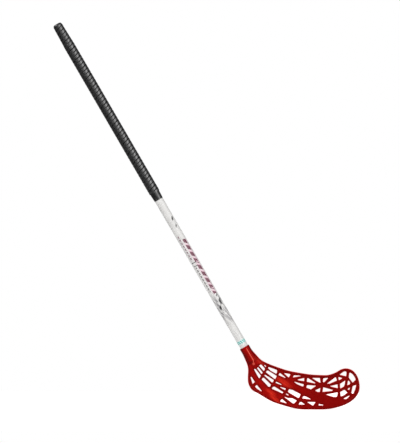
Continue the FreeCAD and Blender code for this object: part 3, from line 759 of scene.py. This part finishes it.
turns = (tape_high - tape_low) / LEAD + 2
stations = int(turns * STEPS_ROUND)
points, faces, rib_share = [], [], []
for station in range(stations + 1):
    angle = 2 * math.pi * station / STEPS_ROUND
    base = tape_low - 1.5 * LEAD + LEAD * station / STEPS_ROUND
    for along, radius, share in section:
        height = base + along
        tight = max(0, 1 - (tape_high - height) / TIGHT_LENGTH)
        thin = 1 - TIGHT_SHARE * min(tight, 1) ** 0.7
        points.append(on_shaft(height, tape_bed + (radius - tape_bed) * thin, angle))
        rib_share.append(share)
count = len(section)
for station in range(stations):
    low, high = station * count, (station + 1) * count
    for step in range(count):
        after = (step + 1) % count
        faces.append((low + step, low + after, high + after, high + step))
faces.append(tuple(range(count)))
faces.append(tuple(reversed(range(stations * count, (stations + 1) * count))))
winding = bpy.data.meshes.new("grip_winding")
winding.from_pydata(points, [], faces)
winding.attributes.new("rib", "FLOAT", "POINT").data.foreach_set("value", rib_share)

strip = bmesh.new()
strip.from_mesh(winding)
for level, outward in ((tape_low, -1), (tape_high, 1)):
    whole = list(strip.verts) + list(strip.edges) + list(strip.faces)
    cut = bmesh.ops.bisect_plane(strip, geom=whole, plane_co=UP * level, plane_no=UP * outward,
                                 clear_outer=True)
    rim = [e for e in cut["geom_cut"] if isinstance(e, bmesh.types.BMEdge) and e.is_boundary]
    bmesh.ops.triangle_fill(strip, edges=rim, use_beauty=True)
bmesh.ops.recalc_face_normals(strip, faces=strip.faces)
open_edges = sum(not e.is_manifold for e in strip.edges)
strip.to_mesh(winding)
strip.free()
piece("grip_winding", winding, foam, "grip_tape", "grip_tape", sharp=60)
print(f"winding of {turns - 2:.1f} turns, open edges: {open_edges}")

# %% [markdown]
# ## End band
# A strip of stretched vinyl tape holds the lower end of the winding and runs down on to the lacquer. It
# is smooth and glossy, but where it was stretched most it is a little duller and finely wrinkled. One
# noise gives all three, so that they change together.

# %% Vinyl
vinyl, tree, shader = finish("vinyl_tape_black", Roughness=0.2, IOR=1.53, Specular_IOR_Level=0.78)
place = node(tree, "TexCoord").outputs["Object"]
smear = node(tree, "TexNoise", {"Vector": place, "Scale": 1 / (5 * MM), "Detail": 4.0}).outputs["Fac"]
film = node(tree, "ValToRGB", {"Fac": smear})
film.color_ramp.elements[0].color = colour("050506")
film.color_ramp.elements[1].color = colour("101011")
tree.links.new(film.outputs["Color"], shader.inputs["Base Color"])
stretch = node(tree, "MapRange", {"Value": smear, "From Min": 0.3, "From Max": 0.7, "To Min": 0.14,
                                  "To Max": 0.26}).outputs["Result"]
tree.links.new(stretch, shader.inputs["Roughness"])
wrinkle = node(tree, "Bump", {"Height": smear, "Strength": 0.3, "Distance": 0.3 * MM})
tree.links.new(wrinkle.outputs["Normal"], shader.inputs["Normal"])
print("end band:", vinyl.name)

# %% [markdown]
# The band laps over itself and puckers a little where it steps down off the foam. Cloth simulation would
# be far too much for a strip as short as this. A turned ring gets the taper, and small lifts round it make
# the lap and the puckers.

# %% End band
LAP = 0.14 * MM
PUCKER = 0.16 * MM
band_low, band_high, band_bed, band_crest = reach("grip_end_band")
band_foot = max(outer for height, inner, outer in outline("grip_end_band", MM) if height < band_low + MM)
ROWS = 24
BAND_SIDES = 120
rings = []
for row in range(ROWS + 1):
    share = row / ROWS
    lip = min(share * 4, (1 - share) * 10, 1)
    rings.append((band_low + (band_high - band_low) * share,
                  band_foot + (band_crest - band_foot) * share ** 0.8 - 0.25 * MM * (1 - lip)))
rings += [(band_high, band_bed), (band_low, band_bed)]
band_mesh = turned("grip_end_band", rings, BAND_SIDES)
for v in band_mesh.vertices:
    height = v.co.dot(UP)
    outward = v.co - UP * height
    if outward.length < band_bed + 0.1 * MM:
        continue
    angle = math.atan2(outward.dot(RIGHT), outward.dot(FRONT))
    climb = (height - band_low) / (band_high - band_low)
    lap = LAP * ((angle / (2 * math.pi) + 1.4 * climb) % 1)
    pucker = PUCKER * climb * noise.noise(Vector((angle * 4, climb * 3, 0)))
    v.co = v.co + outward.normalized() * (lap + pucker - LAP)
piece("grip_end_tape", band_mesh, vinyl, "grip_end_band", "grip_end_band", sharp=50)

# %% [markdown]
# ## Plug, film, glue, label and screw
# These solids have the right shape already and keep it, so they only need a finish. The plug is moulded
# black ABS. The tool was spark-eroded, which leaves a fine matt grain that scatters any highlight.

# %% Plug
moulded_black, tree, shader = finish("abs_black_grained", Roughness=0.42, IOR=1.53)
place = node(tree, "TexCoord").outputs["Object"]
spark = node(tree, "TexNoise", {"Vector": place, "Scale": 1 / (0.7 * MM), "Detail": 3.0}).outputs["Fac"]
tone = node(tree, "ValToRGB", {"Fac": spark})
tone.color_ramp.elements[0].color = colour("161617")
tone.color_ramp.elements[1].color = colour("303031")
tree.links.new(tone.outputs["Color"], shader.inputs["Base Color"])
eroded = node(tree, "Bump", {"Height": spark, "Strength": 0.3, "Distance": 0.08 * MM})
tree.links.new(eroded.outputs["Normal"], shader.inputs["Normal"])
print("plug:", moulded_black.name)

# %% [markdown]
# The film under the grip is acrylic adhesive, which looks dark and stringy over the black tape's back. The
# glue in the socket is amber hot melt with small bubbles. Both are smooth and wet-looking.

# %% Film and glue
acrylic, tree, shader = finish("acrylic_adhesive_film", Roughness=0.28, IOR=1.47)
place = node(tree, "TexCoord").outputs["Object"]
strings = node(tree, "TexNoise", {"Vector": place, "Scale": 1 / (3 * MM), "Detail": 3.0}).outputs["Fac"]
tone = node(tree, "ValToRGB", {"Fac": strings})
tone.color_ramp.elements[0].color = colour("1A1916")
tone.color_ramp.elements[1].color = colour("3A3830")
tree.links.new(tone.outputs["Color"], shader.inputs["Base Color"])

hot_melt, tree, shader = finish("hot_melt_glue_amber", Roughness=0.35, IOR=1.49)
place = node(tree, "TexCoord").outputs["Object"]
bubbles = node(tree, "TexVoronoi", {"Vector": place, "Scale": 1 / (2.5 * MM)}).outputs["Distance"]
tone = node(tree, "ValToRGB", {"Fac": bubbles})
tone.color_ramp.elements[0].color = colour("C79A4A")
tone.color_ramp.elements[1].color = colour("E3C27E")
tree.links.new(tone.outputs["Color"], shader.inputs["Base Color"])
print("film and glue:", acrylic.name, hot_melt.name)

# %% [markdown]
# The ring above the blade is a strip of white polyester film, printed with slanted dashes in sea green. The
# dashes are marks like those on the shaft, in a measure that repeats a whole number of times round the
# ring, so that it has no seam. A noise leaves them a little patchy, as cheap ink does.

# %% Label ring
foil, tree, shader = finish("polyester_label_printed", Roughness=0.3, IOR=1.57)
place = node(tree, "TexCoord").outputs["Object"]
label_rise = math_of("SUBTRACT", toward(UP), label_low / MM)
label_turn = math_of("ARCTAN2", toward(RIGHT), toward(FRONT))
label_round = math_of("MULTIPLY", label_turn, label_skin / MM)
DASHES_ROUND = 12
dash_step = 2 * math.pi * label_skin / MM / DASHES_ROUND
leaned = math_of("ADD", label_round, math_of("MULTIPLY", label_rise, 0.45))
dash_place = node(tree, "Math", {0: leaned, 1: dash_step, 2: 0.0}, operation="WRAP").outputs[0]
blots = node(tree, "TexNoise", {"Vector": place, "Scale": 1 / (3 * MM), "Detail": 2.0}).outputs["Fac"]
dash_ink = mark((label_rise, 1.2, 10.0), (dash_place, 0.7, dash_step - 1.2))
patchy = math_of("MULTIPLY", dash_ink, slot(blots, 0.3, 2, 0.08))
green = node(tree, "Mix", {"Factor": patchy, 6: colour("E6E6E4"), 7: colour("4FBDB4")},
             data_type="RGBA").outputs[2]
tree.links.new(green, shader.inputs["Base Color"])
print("label ring:", DASHES_ROUND, "dashes,", round(dash_step, 1), "mm from one to the next")

# %% [markdown]
# The screw is steel with a zinc plating, a bright and slightly blue metal with a cloudy passivated skin.

# %% Screw
zinc, tree, shader = finish("zinc_plated_steel", Metallic=1.0, Roughness=0.3)
place = node(tree, "TexCoord").outputs["Object"]
passivated = node(tree, "TexNoise", {"Vector": place, "Scale": 1 / (1.2 * MM), "Detail": 3.0}).outputs["Fac"]
tone = node(tree, "ValToRGB", {"Fac": passivated})
tone.color_ramp.elements[0].color = colour("A9ACB0")
tone.color_ramp.elements[1].color = colour("D3D4D2")
tree.links.new(tone.outputs["Color"], shader.inputs["Base Color"])
print("screw:", zinc.name)

# %% [markdown]
# Each solid has one material slot from the start, and its finish goes there.

# %% Put the finishes on the solids
KEPT = {"butt_plug": moulded_black, "grip_adhesive": acrylic, "socket_glue": hot_melt,
        "label_band": foil, "blade_screw": zinc}
for name, material in KEPT.items():
    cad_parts[name].material_slots[0].material = material
print("finished solids:", ", ".join(KEPT))

# %% [markdown]
# ## Studio
# The stick stands on a pale floor in front of a white sweep. The sweep behind it is bright, a broad soft
# glow lies to the front and right, as from a lit wall, and the rest of the room is dim. The glow draws the
# highlight down the grip, and the dim side keeps the black dark and the red deep. Camera rays see plain
# white.

# %% World
SWEEP = 1.0
GLOW_TOWARD = (FRONT * 1.25 + RIGHT).normalized()
GLOW = 1.7
GLOW_FALL = 4
ROOM = 0.15
world = bpy.data.worlds.new("studio")
bpy.context.scene.world = world
world.use_nodes = True
tree = world.node_tree
tree.nodes.clear()
rays = node(tree, "LightPath")
ray = node(tree, "TexCoord").outputs["Generated"]
aim = node(tree, "SeparateXYZ", {0: ray}).outputs["Y"]
to_wall = node(tree, "VectorMath", {0: ray, 1: GLOW_TOWARD}, operation="DOT_PRODUCT")
lobe = math_of("POWER", math_of("MAXIMUM", to_wall.outputs["Value"], 0), GLOW_FALL)
wall = math_of("MULTIPLY_ADD", lobe, GLOW, ROOM)
sweep = node(tree, "MapRange", {"Value": aim, "From Min": 0.85, "From Max": 0.98, "To Max": SWEEP},
             interpolation_type="SMOOTHSTEP").outputs["Result"]
seen = math_of("MAXIMUM", math_of("MAXIMUM", wall, sweep), rays.outputs["Is Camera Ray"])
backdrop = node(tree, "Background", {"Color": colour("FFFFFF"), "Strength": seen})
node(tree, "OutputWorld", {"Surface": backdrop.outputs["Background"]})
print("glow toward", [round(part, 2) for part in GLOW_TOWARD])

# %% [markdown]
# The floor is a matt white that keeps the soft shadow near the blade and fades into the sweep farther out.
# It is a small sheet, because a large one would be mirrored all along the left of the grip.

# %% Floor
FLOOR_HALF = 0.9
FLOOR_MIDDLE = 0.45
FLOOR_GAP = 0.3 * MM
FADE_FROM = 0.35
FADE_TO = 1.1
NEAR_LEVEL = 0.65
MIRRORED_FROM = 0.8
floor_z = drawn_box[0].z - FLOOR_GAP
floor_mesh = bpy.data.meshes.new("floor")
corners = [(FLOOR_MIDDLE + x * FLOOR_HALF, y * FLOOR_HALF, floor_z)
           for x, y in ((-1, -1), (1, -1), (1, 1), (-1, 1))]
floor_mesh.from_pydata(corners, [], [(0, 1, 2, 3)])
floor = bpy.data.objects.new("floor", floor_mesh)
bpy.context.collection.objects.link(floor)

paper, tree, shader = finish("floor_paper_white", Base_Color=colour("E6E6E6"), Roughness=0.9)
rays = node(tree, "LightPath")
spot = node(tree, "TexCoord").outputs["Object"]
reaches = node(tree, "VectorMath", {0: spot, 1: (FLOOR_MIDDLE, 0, floor_z)}, operation="DISTANCE")
fade = node(tree, "MapRange", {"Value": reaches.outputs["Value"], "From Min": FADE_FROM, "From Max": FADE_TO,
                               "To Min": NEAR_LEVEL}, interpolation_type="SMOOTHSTEP").outputs["Result"]
behind = node(tree, "MapRange", {"Value": node(tree, "SeparateXYZ", {0: spot}).outputs["Y"],
                                 "From Max": MIRRORED_FROM}).outputs["Result"]
mirrored = math_of("MULTIPLY", behind, math_of("MAXIMUM", rays.outputs["Is Glossy Ray"],
                                               rays.outputs["Is Transmission Ray"]))
looks = math_of("MAXIMUM", rays.outputs["Is Camera Ray"], mirrored)
glow = math_of("MULTIPLY", fade, looks)
shader.inputs["Emission Color"].default_value = colour("FFFFFF")
tree.links.new(glow, shader.inputs["Emission Strength"])
floor_mesh.materials.append(paper)
print(f"floor {2 * FLOOR_HALF:.1f} m square, {FLOOR_GAP / MM:.1f} mm under the blade")

# %% [markdown]
# Two soft lamps light the front. A broad box hangs high up the shaft's own line and gives the level. From
# there the flat ribs of the grip don't mirror it to the camera, so the left of the grip stays dark. A long
# weak strip on the right runs along the shaft and sharpens its highlight.

# %% Lamps


def lamp(name, position, wide, long, watts):
    """A rectangular soft box that faces the stick, with its long side along the shaft."""
    data = bpy.data.lights.new(name, "AREA")
    data.shape = "RECTANGLE"
    data.size = wide
    data.size_y = long
    data.energy = watts
    box = bpy.data.objects.new(name, data)
    bpy.context.collection.objects.link(box)
    box.location = position
    away = (position - AIM).normalized()
    side = UP.cross(away).normalized()
    tall = away.cross(side)
    box.rotation_euler = Matrix((side, tall, away)).transposed().to_euler()
    print(f"{name}: {wide} by {long} m, {watts} W")


lamp("right_box", AIM + FRONT * 1.37 + RIGHT * 1.32, wide=0.7, long=1.9, watts=10)
lamp("high_box", AIM + FRONT * 0.8 - RIGHT * 1.1 + UP * 2.6, wide=1.2, long=1.2, watts=74)
bpy.context.scene.view_settings.view_transform = "Standard"

# %% [markdown]
# ## End
# Nothing more is built after this. The pieces must not outgrow the drawn solids by more than a
# little.

print("scene complete")
